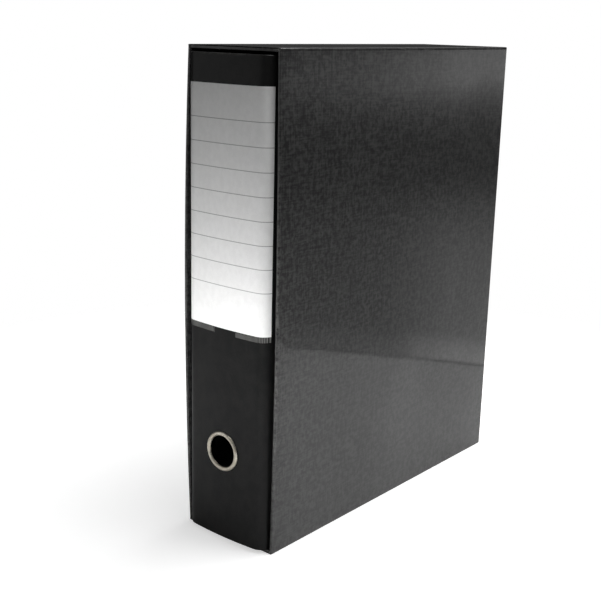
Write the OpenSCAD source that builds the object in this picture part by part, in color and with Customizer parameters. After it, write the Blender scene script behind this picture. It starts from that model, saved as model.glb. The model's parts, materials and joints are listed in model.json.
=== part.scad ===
// Lever arch file in its slipcase, standing upright with the spine facing -Y.
// +Z is up, +X is the front cover's side, and the origin is on the floor at the middle of the footprint.

/* [Slipcase] */
// Outside width of the slipcase at its closed back edge
case_w = 83; // [69:1:100]
// Outside depth of the slipcase, mouth to back
case_d = 284; // [236:1:342]
// Outside height of the slipcase
case_h = 350; // [290:1:420]
// Thickness of the slipcase's grey board
case_board = 1.8; // [1.5:0.1:2.2]
// Thickness of the laminated paper around the slipcase
wrap_t = 0.3; // [0.2:0.05:0.4]
// How far the wrapping turns in at the mouth
mouth_turn = 15; // [10:1:25]
// Outward bow of the left wall at the mouth
bow_left = 4.5; // [0.5:0.1:7]
// Outward bow of the right wall at the mouth
bow_right = 1.8; // [0.5:0.1:7]

/* [Binder covers] */
// How far the crowned spine stands out of the mouth
spine_out = 7.5; // [4:0.5:12]
// Gap between the binder and each slipcase side
side_gap = 1.6; // [1:0.1:3]
// Gap under the binder
foot_gap = 0.4; // [0.3:0.1:1]
// Gap above the binder
head_gap = 2.4; // [1.5:0.1:5]
// Gap between the covers' fore-edge and the slipcase back
back_gap = 3.4; // [3.4:0.1:10]
// Thickness of the binder's board
cover_board = 2; // [1.6:0.1:2.5]
// Thickness of the black covering paper
cover_t = 0.3; // [0.2:0.05:0.4]
// Thickness of the lining paper and of the turned-in covering
lining_t = 0.2; // [0.15:0.05:0.3]
// Width of the covering's turn-in
cover_turn = 15; // [10:1:20]
// Outside radius of the spine's two long edges
corner_r = 9; // [7:0.5:11]
// Radius of the spine's shallow crown
crown_r = 320; // [250:10:500]
// Gap between spine and cover along each crease
crease_gap = 0.35; // [0.3:0.05:0.6]

/* [Label and finger ring] */
// Height of the paper label
label_h = 165.5; // [130:0.5:200]
// Distance from the spine's top edge to the label
label_drop = 19.5; // [10:0.5:30]
// Thickness of the label
label_t = 0.25; // [0.2:0.05:0.4]
// Height of the strip left below the label's perforation
stub_h = 4; // [2:0.5:6]
// Left end of the gap in that strip
stub_gap_x0 = -8; // [-20:1:0]
// Right end of the gap in that strip
stub_gap_x1 = 12; // [2:1:20]
// Height of the finger ring's centre above the binder's foot
ring_z = 67; // [55:0.5:80]
// Radius of the finger hole
ring_hole_r = 11.5; // [9:0.1:13]
// Wall of the finger ring's barrel
ring_wall = 0.7; // [0.5:0.1:1]
// Outside radius of the finger ring's flange
ring_r = 14.75; // [13.8:0.05:16]
// How far the finger ring's flange stands proud of the spine
ring_proud = 1.4; // [1:0.1:2]
// Thickness of the washer behind the spine
washer_t = 0.6; // [0.4:0.1:1]

/* [Lever arch mechanism] */
// Length of the base plate, along the spine
plate_l = 157; // [125:1:180]
// Width of the base plate
plate_w = 66; // [60:1:75]
// Thickness of the base plate and its lugs
plate_t = 1.2; // [1:0.1:1.5]
// Distance from the spine's inner face to the arch pivot
arch_setback = 40; // [38:1:48]
// Distance between the two arches, centre to centre
post_pitch = 80; // [66:1:96]
// Radius of the arches' bent top, to the wire's centre
arch_r = 20; // [17:0.5:24]
// Radius of the arch wire
wire_r = 2; // [1.6:0.05:2.4]
// Height of the arch pivot above the rear lining
pivot_h = 5.5; // [5:0.1:7]
// Least gap between the swinging arches and the front lining
arch_clear = 1.3; // [1:0.1:3]
// Arm of the arch wire's crank
crank_arm = 12; // [10:0.5:14]
// Half width of the crank, to the wire's centre
crank_half = 9; // [8.8:0.1:11]
// Radius of a post
post_r = 2.25; // [1.9:0.05:2.7]
// Gap between a post's tip and the closed arch
tip_gap = 0.3; // [0.2:0.05:0.5]
// Gap between the opened lever's sweep and the front lining
lever_clear = 3; // [2:0.1:6]
// Radius of the lever's pivot pin
lever_pin_r = 1.4; // [1.2:0.1:1.8]
// Radius of the roller on the lever
roller_r = 4.5; // [4:0.1:5.2]
// Distance from the lever's pivot to the roller
roller_arm = 6; // [5.5:0.1:6.5]
// Half width of the lever, over its two cheeks
lever_half = 6; // [5:0.1:6.2]
// Thickness of the lever's sheet steel
lever_t = 1; // [0.8:0.1:1.2]
// Radial running gap in the pivots
run_gap = 0.05; // [0.02:0.01:0.1]
// Length of the paper clamp's bar
clamp_l = 112; // [102:1:130]
// Width of the paper clamp's bar
clamp_w = 13; // [10:0.5:16]
// Thickness of the paper clamp's bar
clamp_t = 1.2; // [1:0.1:1.6]
// Thickness of the paper clamp's leaf spring
spring_t = 0.5; // [0.3:0.05:0.7]
// Height of the paper clamp above the rear lining
clamp_h = 9; // [6:0.5:14]
// Radial gap between the clamp's holes and the posts
clamp_gap = 0.35; // [0.2:0.05:0.5]
// Radius of a rivet's shank
rivet_r = 2; // [1.5:0.1:2.5]

/* [Hidden] */
$fn = 48;

eps = 0.01;
// Slipcase: walls, mouth and back
wall_t = wrap_t + case_board;
case_x = case_w / 2;
inner_x = case_x - wall_t;
total_d = case_d + spine_out + ring_proud;
back_y = total_d / 2;
mouth_y = back_y - case_d;
bow_y1 = back_y - wall_t;
bow_z0 = wall_t;
bow_z1 = case_h - wall_t;

// Binder: outside box, spine profile and creases
front_y = mouth_y - spine_out;
cover_x = inner_x - wrap_t - side_gap;
cover_in = cover_t + cover_board;
cover_total = cover_in + lining_t;
inside_x = cover_x - cover_total;
foot_z = wall_t + foot_gap;
head_z = case_h - wall_t - head_gap;
binder_h = head_z - foot_z;
fore_y = back_y - wall_t - back_gap;
corner_x = cover_x - corner_r;
crown_y = front_y + crown_r;
corner_y = crown_y - sqrt(pow(crown_r - corner_r, 2) - pow(corner_x, 2));
crown_a = asin(corner_x / (crown_r - corner_r));
cover_y = corner_y + crease_gap;
spine_in_y = front_y + cover_total;
corner_steps = 12;
crown_steps = 16;

// Label: it leaves this many steps of each rounded edge bare
label_trim = 2;
label_z1 = head_z - label_drop;
label_z0 = label_z1 - label_h;
ring_cz = foot_z + ring_z;
ring_out_r = ring_hole_r + ring_wall;
ring_fit = 0.1;
// The washer is flat and the lining behind it is crowned, so the washer rests on two points of its rim
lining_r = crown_r - cover_total;
washer_depth = cover_total + lining_r - sqrt(pow(lining_r, 2) - pow(ring_r, 2));
barrel_depth = washer_depth + washer_t;

// Mechanism: heights are measured from the rear lining, along +X
mech_x = -inside_x;
mid_z = foot_z + binder_h / 2;
arch_y = spine_in_y + arch_setback;
plate_before_arch = 24;
post_y = arch_y + 2 * arch_r;
plate_y0 = arch_y - plate_before_arch;
inside_w = 2 * inside_x;
arch_reach = inside_w - arch_clear - arch_r - wire_r - pivot_h;
arch_leg = sqrt(pow(arch_reach, 2) - pow(arch_r, 2));
arch_open = 32;
bend_swell = 0.05;
crank_a = 150;
post_h = pivot_h + arch_leg - tip_gap;
roller_gap = 0.1;
lever_open = 65;
// The lever's pivot stands where the roller just clears the crank, closed and open
crank_mid_a = 180 - crank_a - arch_open / 2;
crank_offset = 0.3;
lever_u = crank_offset - crank_arm * cos(crank_mid_a) - roller_arm * cos(lever_open / 2);
lever_h = pivot_h + crank_arm * sin(crank_a) + wire_r + roller_gap + roller_r
    - roller_arm * sin(lever_open / 2);
lever_y = arch_y + lever_u;
lever_tab_over = 3;
lever_len = inside_w - lever_h - lever_clear - lever_tab_over;
// The lever leans towards the spine by one distance, whatever its length, so its tab stays clear of the lining
lever_lean_in = 12.7;
lever_lean = asin(lever_lean_in / lever_len);
lever_boss_r = lever_pin_r + 1.7;
tab_r = 5;
cheek_end_r = 2.4;
web_x0 = 7;
web_y = lever_t - cheek_end_r;
cheek_l = lever_len - 2 * tab_r;
roller_pin_r = 1.2;
roller_boss_r = roller_pin_r + 1.6;
roller_side_gap = 0.2;
roller_la = 90 - lever_open / 2 + lever_lean;
ear_gap = 1;
ear_z = crank_half + wire_r + ear_gap;
lug_z = 30;
rivet_inset = 6;
rivet_zs = [-1, 1] * (plate_l / 2 - rivet_inset);
rivet_ys = [plate_y0 + rivet_inset, plate_y0 + plate_w - rivet_inset];

function ray(a) = [cos(a), sin(a)];
function arc(c, r, a0, a1, n) = [for (i = [0:n]) c + r * ray(a0 + (a1 - a0) * i / n)];
function tail(list) = [for (i = [1:len(list) - 1]) list[i]];
function reversed(list) = [for (i = [len(list) - 1:-1:0]) list[i]];

// The spine's outline at a depth under its outer face, from the rear crease round to the front crease.
// A trim leaves out that many steps at each end.
function trim_angle(trim) = trim * (90 - crown_a) / corner_steps;
function corner_line(side, depth, a0, a1, trim) =
    arc([side * corner_x, corner_y], corner_r - depth, a0, a1, corner_steps - trim);
function crown_line(depth) = arc([0, crown_y], crown_r - depth, 270 - crown_a, 270 + crown_a, crown_steps);
function spine_line(depth, trim) = concat(
    corner_line(-1, depth, 180 + trim_angle(trim), 270 - crown_a, trim),
    tail(crown_line(depth)),
    tail(corner_line(1, depth, 270 + crown_a, 360 - trim_angle(trim), trim)));

// Where the slipcase's side walls bow outward: most at the mouth's middle, nothing at its corners and back
function along(v, v0, v1) = min(1, max(0, (v - v0) / (v1 - v0)));
function bow_over_depth(t) = 1 - t * t;
function bow_over_height(s) = 4 * s * (1 - s);
function bow(y, z) = bow_over_depth(along(y, mouth_y, bow_y1)) * bow_over_height(along(z, bow_z0, bow_z1));
bow_rows = 10;
bow_columns = 6;
bow_zs = concat([wrap_t],
    [for (j = [0:bow_rows]) bow_z0 + (bow_z1 - bow_z0) * j / bow_rows],
    [case_h - wrap_t]);
bow_ys = concat([mouth_y, mouth_y + wrap_t],
    [for (i = [0:bow_columns]) mouth_y + mouth_turn + (bow_y1 - mouth_y - mouth_turn) * i / bow_columns],
    [back_y - wrap_t, back_y]);
bow_last = len(bow_ys) - 1;
rows_last = len(bow_zs) - 1;

// A bowed sheet on the +X side, between two depths under the outer face,
// from column i0 to i1 of bow_ys and from row j0 to j1 of bow_zs
module bowed_sheet(amount, depth0, depth1, i0, i1, j0, j1) {
    ys = [for (i = [i0:i1]) bow_ys[i]];
    zs = [for (j = [j0:j1]) bow_zs[j]];
    ny = len(ys);
    nz = len(zs);
    points = [for (depth = [depth0, depth1]) for (z = zs) for (y = ys)
        [case_x + amount * bow(y, z) - depth, y, z]];
    function o(i, j) = j * ny + i;
    function n(i, j) = ny * nz + j * ny + i;
    faces = concat(
        [for (j = [0:nz - 2]) for (i = [0:ny - 2]) each [
            [o(i, j), o(i, j + 1), o(i + 1, j + 1)], [o(i, j), o(i + 1, j + 1), o(i + 1, j)],
            [n(i, j), n(i + 1, j + 1), n(i, j + 1)], [n(i, j), n(i + 1, j), n(i + 1, j + 1)]]],
        [for (i = [0:ny - 2]) each [
            [o(i, 0), o(i + 1, 0), n(i + 1, 0), n(i, 0)],
            [o(i + 1, nz - 1), o(i, nz - 1), n(i, nz - 1), n(i + 1, nz - 1)]]],
        [for (j = [0:nz - 2]) each [
            [o(0, j + 1), o(0, j), n(0, j), n(0, j + 1)],
            [o(ny - 1, j), o(ny - 1, j + 1), n(ny - 1, j + 1), n(ny - 1, j)]]]);
    polyhedron(points, faces);
}

module case_side_board(amount) {
    color("dimgray") bowed_sheet(amount, wrap_t, wall_t, 1, bow_last - 1, 0, rows_last);
}

module case_left_board() {
    mirror([1, 0, 0]) case_side_board(bow_left);
}

module case_right_board() {
    case_side_board(bow_right);
}

module case_back_board() {
    color("dimgray") translate([-inner_x, back_y - wall_t, wrap_t])
        cube([2 * inner_x, case_board, case_h - 2 * wrap_t]);
}

module case_end_board(z) {
    color("dimgray") translate([-inner_x, mouth_y + wrap_t, z])
        cube([2 * inner_x, case_d - wrap_t - wall_t, case_board]);
}

module case_top_board() {
    case_end_board(case_h - wall_t);
}

module case_bottom_board() {
    case_end_board(wrap_t);
}

// One side of the wrapping: its face, the fold over the mouth's edge and the turn-in
module side_wrap_half(amount) {
    bowed_sheet(amount, 0, wrap_t, 0, bow_last, 0, rows_last);
    bowed_sheet(amount, 0, wall_t, 0, 1, 0, rows_last);
    bowed_sheet(amount, wall_t, wall_t + wrap_t, 0, 2, 1, rows_last - 1);
}

module case_side_wrap() {
    color([0.2, 0.2, 0.21]) {
        side_wrap_half(bow_right);
        mirror([1, 0, 0]) side_wrap_half(bow_left);
        translate([-case_x, back_y - wrap_t, wrap_t]) cube([case_w, wrap_t, case_h - 2 * wrap_t]);
    }
}

// A sheet over the slipcase's lower end, folded over the mouth's edge and turned in
module end_sheet() {
    color([0.16, 0.16, 0.17]) {
        translate([-case_x, mouth_y, 0]) cube([case_w, case_d, wrap_t]);
        translate([-inner_x, mouth_y, 0]) cube([2 * inner_x, wrap_t, wall_t]);
        translate([-inner_x + wrap_t, mouth_y, wall_t - eps])
            cube([2 * (inner_x - wrap_t), wrap_t, wrap_t + eps]);
        translate([-inner_x + wrap_t, mouth_y, wall_t])
            cube([2 * (inner_x - wrap_t), mouth_turn, wrap_t]);
    }
}

module case_bottom_sheet() {
    end_sheet();
}

module case_top_sheet() {
    translate([0, 0, case_h]) mirror([0, 0, 1]) end_sheet();
}

// A stretch of the spine between two depths and two heights
module spine_strip(depth0, depth1, z0, z1, trim = 0) {
    translate([0, 0, z0]) linear_extrude(z1 - z0)
        polygon(concat(spine_line(depth0, trim), reversed(spine_line(depth1, trim))));
}

module finger_hole() {
    translate([0, front_y - ring_proud, ring_cz]) rotate([-90, 0, 0])
        cylinder(r = ring_out_r + ring_fit, h = ring_proud + barrel_depth);
}

module spine_board() {
    color("dimgray") difference() {
        spine_strip(cover_t, cover_in, foot_z + cover_t, head_z - cover_t);
        finger_hole();
    }
}

module spine_covering() {
    color([0.1, 0.1, 0.105]) difference() {
        spine_strip(0, cover_total, foot_z, head_z);
        spine_strip(cover_t, cover_in, foot_z + cover_t, head_z - cover_t);
        spine_strip(cover_in - eps, cover_total + 1, foot_z + cover_turn, head_z - cover_turn);
        finger_hole();
    }
}

module spine_lining() {
    color([0.25, 0.25, 0.26]) difference() {
        spine_strip(cover_in, cover_total, foot_z + cover_turn, head_z - cover_turn);
        finger_hole();
    }
}

module spine_label() {
    color("white") spine_strip(-label_t, 0, label_z0, label_z1, label_trim);
}

module label_tear_strip() {
    color("silver") difference() {
        spine_strip(-label_t, 0, label_z0 - stub_h, label_z0, label_trim);
        translate([stub_gap_x0, front_y - 1, label_z0 - stub_h - 1])
            cube([stub_gap_x1 - stub_gap_x0, 5, stub_h + 2]);
    }
}

// Places a profile, drawn as [radius, depth under the spine's outer face], around the finger hole
module around_finger_hole() {
    translate([0, front_y, ring_cz]) rotate([-90, 0, 0]) rotate_extrude($fn = 64) children();
}

module finger_ring() {
    roll = (ring_r - ring_hole_r) / 2;
    ring_lip = 1;
    color("silver") around_finger_hole() {
        translate([ring_hole_r, -eps]) square([ring_wall, barrel_depth + 2 * eps]);
        intersection() {
            translate([ring_hole_r + roll, 0]) scale([1, ring_proud / roll]) circle(roll, $fn = 32);
            translate([ring_hole_r, -ring_proud]) square([2 * roll, ring_proud]);
        }
        translate([ring_hole_r, barrel_depth]) square([ring_wall + ring_lip, ring_wall]);
    }
}

module finger_ring_washer() {
    color("silver") around_finger_hole()
        translate([ring_out_r + ring_fit, washer_depth]) square([ring_r - ring_out_r - ring_fit, washer_t]);
}

// Boxes of one cover, drawn on the +X side: x is the depth under its outer face
module cover_box(depth0, depth1, y0, y1, z_inset) {
    translate([cover_x - depth1, y0, foot_z + z_inset])
        cube([depth1 - depth0, y1 - y0, binder_h - 2 * z_inset]);
}

module cover_board_half() {
    color("dimgray") cover_box(cover_t, cover_in, cover_y, fore_y - cover_t, cover_t);
}

module cover_covering_half() {
    color([0.1, 0.1, 0.105]) difference() {
        cover_box(0, cover_total, cover_y, fore_y, 0);
        cover_box(cover_t, cover_in, cover_y - 1, fore_y - cover_t, cover_t);
        cover_box(cover_in - eps, cover_total + 1, cover_y - 1, fore_y - cover_turn, cover_turn);
    }
}

module cover_lining_half() {
    color([0.25, 0.25, 0.26]) cover_box(cover_in, cover_total, cover_y, fore_y - cover_turn, cover_turn);
}

module front_board() {
    cover_board_half();
}

module front_covering() {
    cover_covering_half();
}

module front_lining() {
    cover_lining_half();
}

// Repeats its children at the four rivets, with +Z turned to +X from the rear lining's face
module at_rivets() {
    for (y = rivet_ys, z = rivet_zs)
        translate([mech_x, y, mid_z + z]) rotate([0, 90, 0]) children();
}

module rivet_holes() {
    at_rivets() translate([0, 0, -cover_total - 1]) cylinder(r = rivet_r, h = cover_total + plate_t + 2);
}

module rear_board() {
    difference() {
        mirror([1, 0, 0]) cover_board_half();
        rivet_holes();
    }
}

module rear_covering() {
    difference() {
        mirror([1, 0, 0]) cover_covering_half();
        rivet_holes();
    }
}

module rear_lining() {
    difference() {
        mirror([1, 0, 0]) cover_lining_half();
        rivet_holes();
    }
}

// A lug that stands on the base plate and holds a pivot at height h, drawn in the plane across the spine
module lug(y, h, z, boss_r, hole_r) {
    foot = 14;
    translate([mech_x, y, mid_z + z - plate_t / 2]) linear_extrude(plate_t) difference() {
        hull() {
            translate([h, 0]) circle(boss_r, $fn = 32);
            translate([0, -foot / 2]) square([plate_t, foot]);
        }
        translate([h, 0]) circle(hole_r);
    }
}

module mechanism_base() {
    color("silver") difference() {
        union() {
            translate([mech_x, plate_y0, mid_z - plate_l / 2]) cube([plate_t, plate_w, plate_l]);
            for (z = [-lug_z, lug_z]) lug(arch_y, pivot_h, z, wire_r + 2, wire_r + run_gap);
            for (z = [-ear_z, ear_z]) lug(lever_y, lever_h, z, lever_pin_r + 2.5, lever_pin_r);
        }
        rivet_holes();
    }
}

module mechanism_rivets() {
    head_t = 0.8;
    color("silver") at_rivets() {
        translate([0, 0, -cover_total - head_t]) {
            cylinder(r = rivet_r + 2.5, h = head_t);
            cylinder(r = rivet_r, h = cover_total + plate_t + 2 * head_t);
        }
        translate([0, 0, plate_t]) cylinder(r = rivet_r + 1.8, h = head_t);
    }
}

// One straight post, with a collar on the base plate and a tapered tip under the arch's end
module post(side) {
    collar_r = post_r + 1.6;
    collar_h = 1.6;
    bevel = 0.6;
    tip_r = wire_r - 0.8;
    tip_h = 3;
    top = post_h - plate_t;
    outline = [[0, 0], [collar_r, 0], [collar_r, collar_h - bevel], [collar_r - bevel, collar_h],
        [post_r, collar_h], [post_r, top - tip_h], [tip_r, top], [0, top]];
    color("silver") translate([mech_x + plate_t, post_y, mid_z + side * post_pitch / 2]) rotate([0, 90, 0])
        rotate_extrude() polygon(outline);
}

module upper_post() {
    post(1);
}

module lower_post() {
    post(-1);
}

module lever_pin() {
    head_t = 0.8;
    half = ear_z + plate_t / 2;
    color("silver") translate([mech_x + lever_h, lever_y, mid_z - half]) {
        cylinder(r = lever_pin_r, h = 2 * half);
        for (z = [-head_t, 2 * half]) translate([0, 0, z]) cylinder(r = lever_pin_r + 1, h = head_t);
    }
}

// A round rod along Z between two heights beside the mechanism's middle
module rod(w, u, z0, z1) {
    translate([mech_x + w, arch_y + u, mid_z + z0]) cylinder(r = wire_r, h = z1 - z0);
}

// A ball at one of the wire's tight bends, a little fuller than the wire, which swells where it is bent
module wire_bend() {
    sphere(wire_r + 2 * bend_swell);
}

// One arch: a leg from the pivot, a half circle, and an open end above the post
module arch(side) {
    z = mid_z + side * post_pitch / 2;
    translate([mech_x + pivot_h, arch_y, z]) wire_bend();
    translate([mech_x + pivot_h, arch_y, z]) rotate([0, 90, 0]) cylinder(r = wire_r, h = arch_leg);
    translate([mech_x + pivot_h + arch_leg, arch_y + arch_r, z]) rotate([0, 0, -90])
        rotate_extrude(angle = 180) translate([arch_r, 0]) circle(wire_r + bend_swell);
}

module arch_wire() {
    crank_w = crank_arm * sin(crank_a);
    crank_u = crank_arm * cos(crank_a);
    color("silver") {
        for (side = [-1, 1]) {
            arch(side);
            z = side * crank_half;
            rod(pivot_h, 0, min(z, side * post_pitch / 2), max(z, side * post_pitch / 2));
            translate([mech_x + pivot_h, arch_y, mid_z + z]) {
                wire_bend();
                rotate([0, 0, 90 - crank_a]) rotate([0, 90, 0]) cylinder(r = wire_r, h = crank_arm);
            }
            translate([mech_x + pivot_h + crank_w, arch_y + crank_u, mid_z + z]) wire_bend();
        }
        rod(pivot_h + crank_w, crank_u, -crank_half, crank_half);
    }
}

// The lever lies in its own frame: x along its arm, y away from the spine, z along its pivot
module in_lever_frame() {
    translate([mech_x + lever_h, lever_y, mid_z]) rotate([0, 0, -lever_lean]) children();
}

module at_roller() {
    in_lever_frame() translate(roller_arm * [cos(roller_la), sin(roller_la), 0]) children();
}

// One cheek of the lever, in the lever's frame: a boss round the pivot, an ear to the roller and the arm
module lever_cheek() {
    hull() {
        circle(lever_boss_r, $fn = 32);
        rotate(roller_la) translate([roller_arm, 0]) circle(roller_boss_r, $fn = 32);
    }
    hull() {
        circle(lever_boss_r, $fn = 32);
        translate([cheek_l, 0]) circle(cheek_end_r, $fn = 32);
    }
}

// The lever's web, a strip along the arm's spine side that ends in a curled thumb tab
module lever_web() {
    curl = [lever_len - tab_r, web_y - tab_r];
    polygon(concat([[web_x0, web_y]], arc(curl, tab_r, 90, 15, 8),
        arc(curl, tab_r - lever_t, 15, 90, 8), [[web_x0, web_y - lever_t]]));
}

module lever() {
    color("silver") difference() {
        in_lever_frame() {
            for (z = [-lever_half, lever_half - lever_t])
                translate([0, 0, z]) linear_extrude(lever_t) lever_cheek();
            translate([0, 0, -lever_half]) linear_extrude(2 * lever_half) lever_web();
        }
        in_lever_frame() cylinder(r = lever_pin_r + run_gap, h = 3 * lever_half, center = true);
        at_roller() cylinder(r = roller_pin_r, h = 3 * lever_half, center = true);
    }
}

module lever_roller() {
    color("gray") at_roller() difference() {
        cylinder(r = roller_r, h = 2 * (lever_half - lever_t - roller_side_gap), center = true);
        cylinder(r = roller_pin_r + run_gap, h = 3 * lever_half, center = true);
    }
}

module roller_pin() {
    head_t = 0.6;
    color("silver") at_roller() {
        cylinder(r = roller_pin_r, h = 2 * lever_half, center = true);
        for (side = [-1, 1]) translate([0, 0, side * (lever_half + head_t / 2)])
            cylinder(r = roller_pin_r + 0.6, h = head_t, center = true);
    }
}

// The clamp's parts are drawn flat: x is the height above the rear lining
module at_clamp() {
    translate([mech_x + clamp_h, post_y, mid_z]) children();
}

module paper_clamp_bar() {
    rim = 3;
    color("silver") at_clamp() difference() {
        union() {
            translate([0, -clamp_w / 2, -clamp_l / 2]) cube([clamp_t, clamp_w, clamp_l]);
            for (y = [-clamp_w / 2, clamp_w / 2 - clamp_t])
                translate([0, y, -clamp_l / 2]) cube([rim, clamp_t, clamp_l]);
        }
        for (side = [-1, 1]) translate([-1, 0, side * post_pitch / 2]) rotate([0, 90, 0])
            cylinder(r = post_r + clamp_gap, h = clamp_t + 2);
        translate([-1, 0, 0]) rotate([0, 90, 0]) cylinder(r = rivet_r, h = clamp_t + 2);
    }
}

module paper_clamp_spring() {
    spring_w = 8;
    heel = 6;
    catch_h = 5;
    reach = post_pitch / 2 - post_r - 0.6;
    color("gray") at_clamp() translate([clamp_t, 0, 0]) difference() {
        union() {
            translate([0, -spring_w / 2, -heel]) cube([spring_t, spring_w, heel + reach]);
            translate([0, -spring_w / 2, reach - spring_t]) cube([catch_h, spring_w, spring_t]);
        }
        translate([-1, 0, 0]) rotate([0, 90, 0]) cylinder(r = rivet_r, h = 3);
    }
}

module paper_clamp_rivet() {
    head_t = 0.6;
    color("silver") at_clamp() rotate([0, 90, 0]) {
        translate([0, 0, -head_t]) cylinder(r = rivet_r + 1, h = head_t);
        cylinder(r = rivet_r, h = clamp_t + spring_t);
        translate([0, 0, clamp_t + spring_t]) cylinder(r = rivet_r + 1, h = head_t);
    }
}

case_left_board();
case_right_board();
case_back_board();
case_top_board();
case_bottom_board();
case_side_wrap();
case_top_sheet();
case_bottom_sheet();
spine_board();
spine_covering();
spine_lining();
spine_label();
label_tear_strip();
finger_ring();
finger_ring_washer();
front_board();
front_covering();
front_lining();
rear_board();
rear_covering();
rear_lining();
mechanism_base();
mechanism_rivets();
upper_post();
lower_post();
lever_pin();
arch_wire();
lever();
lever_roller();
roller_pin();
paper_clamp_bar();
paper_clamp_spring();
paper_clamp_rivet();
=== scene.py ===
"""A lever arch file standing in its slipcase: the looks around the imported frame. Units are metres."""
import json
import math

import bmesh
import bpy
from mathutils import Matrix, Vector

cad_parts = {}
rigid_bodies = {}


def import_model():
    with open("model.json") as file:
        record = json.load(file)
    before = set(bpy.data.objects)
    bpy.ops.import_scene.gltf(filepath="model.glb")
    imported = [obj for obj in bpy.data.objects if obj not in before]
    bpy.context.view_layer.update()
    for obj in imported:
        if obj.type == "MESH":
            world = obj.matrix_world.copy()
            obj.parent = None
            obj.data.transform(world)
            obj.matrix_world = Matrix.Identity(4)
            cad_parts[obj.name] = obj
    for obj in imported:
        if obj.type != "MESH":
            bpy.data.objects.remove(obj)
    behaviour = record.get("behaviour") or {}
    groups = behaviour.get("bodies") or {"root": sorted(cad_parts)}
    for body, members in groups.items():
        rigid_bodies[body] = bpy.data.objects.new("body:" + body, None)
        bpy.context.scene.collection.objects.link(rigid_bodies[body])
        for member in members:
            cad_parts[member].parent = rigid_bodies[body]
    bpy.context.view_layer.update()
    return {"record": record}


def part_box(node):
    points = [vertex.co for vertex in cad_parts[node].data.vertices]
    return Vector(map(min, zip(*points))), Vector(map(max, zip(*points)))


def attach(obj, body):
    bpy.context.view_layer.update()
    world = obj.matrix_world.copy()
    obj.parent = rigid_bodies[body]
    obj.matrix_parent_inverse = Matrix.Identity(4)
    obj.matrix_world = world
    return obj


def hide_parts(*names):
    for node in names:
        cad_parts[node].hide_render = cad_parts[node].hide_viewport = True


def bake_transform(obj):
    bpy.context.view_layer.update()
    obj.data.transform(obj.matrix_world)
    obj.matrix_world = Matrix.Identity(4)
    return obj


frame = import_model()
MM = 0.001

# ---------------------------------------------------------------- sizes taken from the frame

CASE_LOW, CASE_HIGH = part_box("case_bottom_sheet")[0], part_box("case_top_sheet")[1]
WRAP_LOW, WRAP_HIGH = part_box("case_side_wrap")
CASE_X, MOUTH_Y, BACK_Y, CASE_H = CASE_HIGH.x, CASE_LOW.y, CASE_HIGH.y, CASE_HIGH.z
PAPER = WRAP_LOW.z
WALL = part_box("case_bottom_board")[1].z
BOW_LEFT = -CASE_X - WRAP_LOW.x
BOW_RIGHT = WRAP_HIGH.x - CASE_X
TURN_IN = 15 * MM

SPINE_LOW, SPINE_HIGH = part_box("spine_covering")
FRONT_LOW, FRONT_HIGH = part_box("front_covering")
FOOT_Z, HEAD_Z = SPINE_LOW.z, SPINE_HIGH.z
SPINE_Y, CREASE_Y = SPINE_LOW.y, SPINE_HIGH.y
COVER_X, INSIDE_X = FRONT_HIGH.x, FRONT_LOW.x
COVER_Y, FORE_Y = FRONT_LOW.y, FRONT_HIGH.y
COVER_T = COVER_X - INSIDE_X
LABEL_LOW, LABEL_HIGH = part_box("spine_label")
STUB_LOW, STUB_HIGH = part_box("label_tear_strip")
RING_LOW, RING_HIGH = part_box("finger_ring")
WASHER_LOW, WASHER_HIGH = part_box("finger_ring_washer")
RING_Z = (RING_LOW.z + RING_HIGH.z) / 2
RING_HOLE_R = frame["record"]["mounts"][0]["dims"]["r_mm"] * MM
RING_R = RING_HIGH.x
SPINE_HOLE_R = RING_HOLE_R + 0.8 * MM
COVERING = 0.3 * MM
# a little thinner than in the frame, which keeps the sheet off the boards
COVERING_SHEET = COVERING * 0.93
COVER_FOLD_R = 0.7 * MM
CORNER_R = 9 * MM
CROWN_R = 320 * MM
CORNER_X = COVER_X - CORNER_R
CROWN_Y = SPINE_Y + CROWN_R
CORNER_Y = CROWN_Y - math.sqrt((CROWN_R - CORNER_R) ** 2 - CORNER_X ** 2)
CROWN_TURN = math.degrees(math.asin(CORNER_X / (CROWN_R - CORNER_R)))
CORNER_STEPS = 12
# the label stops this many steps short of the end of each corner
BARE_STEPS = 2
LABEL_STEPS = CORNER_STEPS - BARE_STEPS
LABEL_TRIM = BARE_STEPS * (90 - CROWN_TURN) / CORNER_STEPS
LABEL_T = LABEL_LOW.y - SPINE_Y
LINE_TOP = 303.4 * MM
LINE_PITCH = 16.1 * MM
LINE_COUNT = 8
LINE_WIDTH = 0.5 * MM
STUB_GAP = (-8 * MM, 12 * MM)
TOOTH_PITCH = 1.0 * MM

POST_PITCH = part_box("upper_post")[1].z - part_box("lower_post")[1].z
PIVOTS = {j["name"]: Vector(j["pos_m"]) for j in frame["record"]["behaviour"]["joints"] if "pos_m" in j}
STEEL_T = 1.2 * MM
WIRE_R = 2 * MM
MERGE = 0.002 * MM


# ---------------------------------------------------------------- modelling by operators

def nothing_selected():
    """Leaves edit mode and deselects every object."""
    if bpy.context.object and bpy.context.object.mode != "OBJECT":
        bpy.ops.object.mode_set(mode="OBJECT")
    bpy.ops.object.select_all(action="DESELECT")


def only(piece):
    """Selects one piece and makes it active."""
    nothing_selected()
    piece.select_set(True)
    bpy.context.view_layer.objects.active = piece


def into_edit(name, scale=(1, 1, 1)):
    """Names the new primitive, applies its place and size, and opens it in edit mode."""
    piece = bpy.context.object
    piece.name = name
    piece.scale = scale
    bpy.ops.object.transform_apply(location=True, rotation=True, scale=True)
    bpy.ops.object.mode_set(mode="EDIT")
    bpy.ops.mesh.select_mode(type="VERT")
    bpy.ops.mesh.select_all(action="SELECT")
    return piece


def block(name, low, high):
    """A box between two corners, in edit mode with everything selected."""
    nothing_selected()
    low, high = Vector(low), Vector(high)
    bpy.ops.mesh.primitive_cube_add(size=1, location=(low + high) / 2)
    return into_edit(name, high - low)


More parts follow.
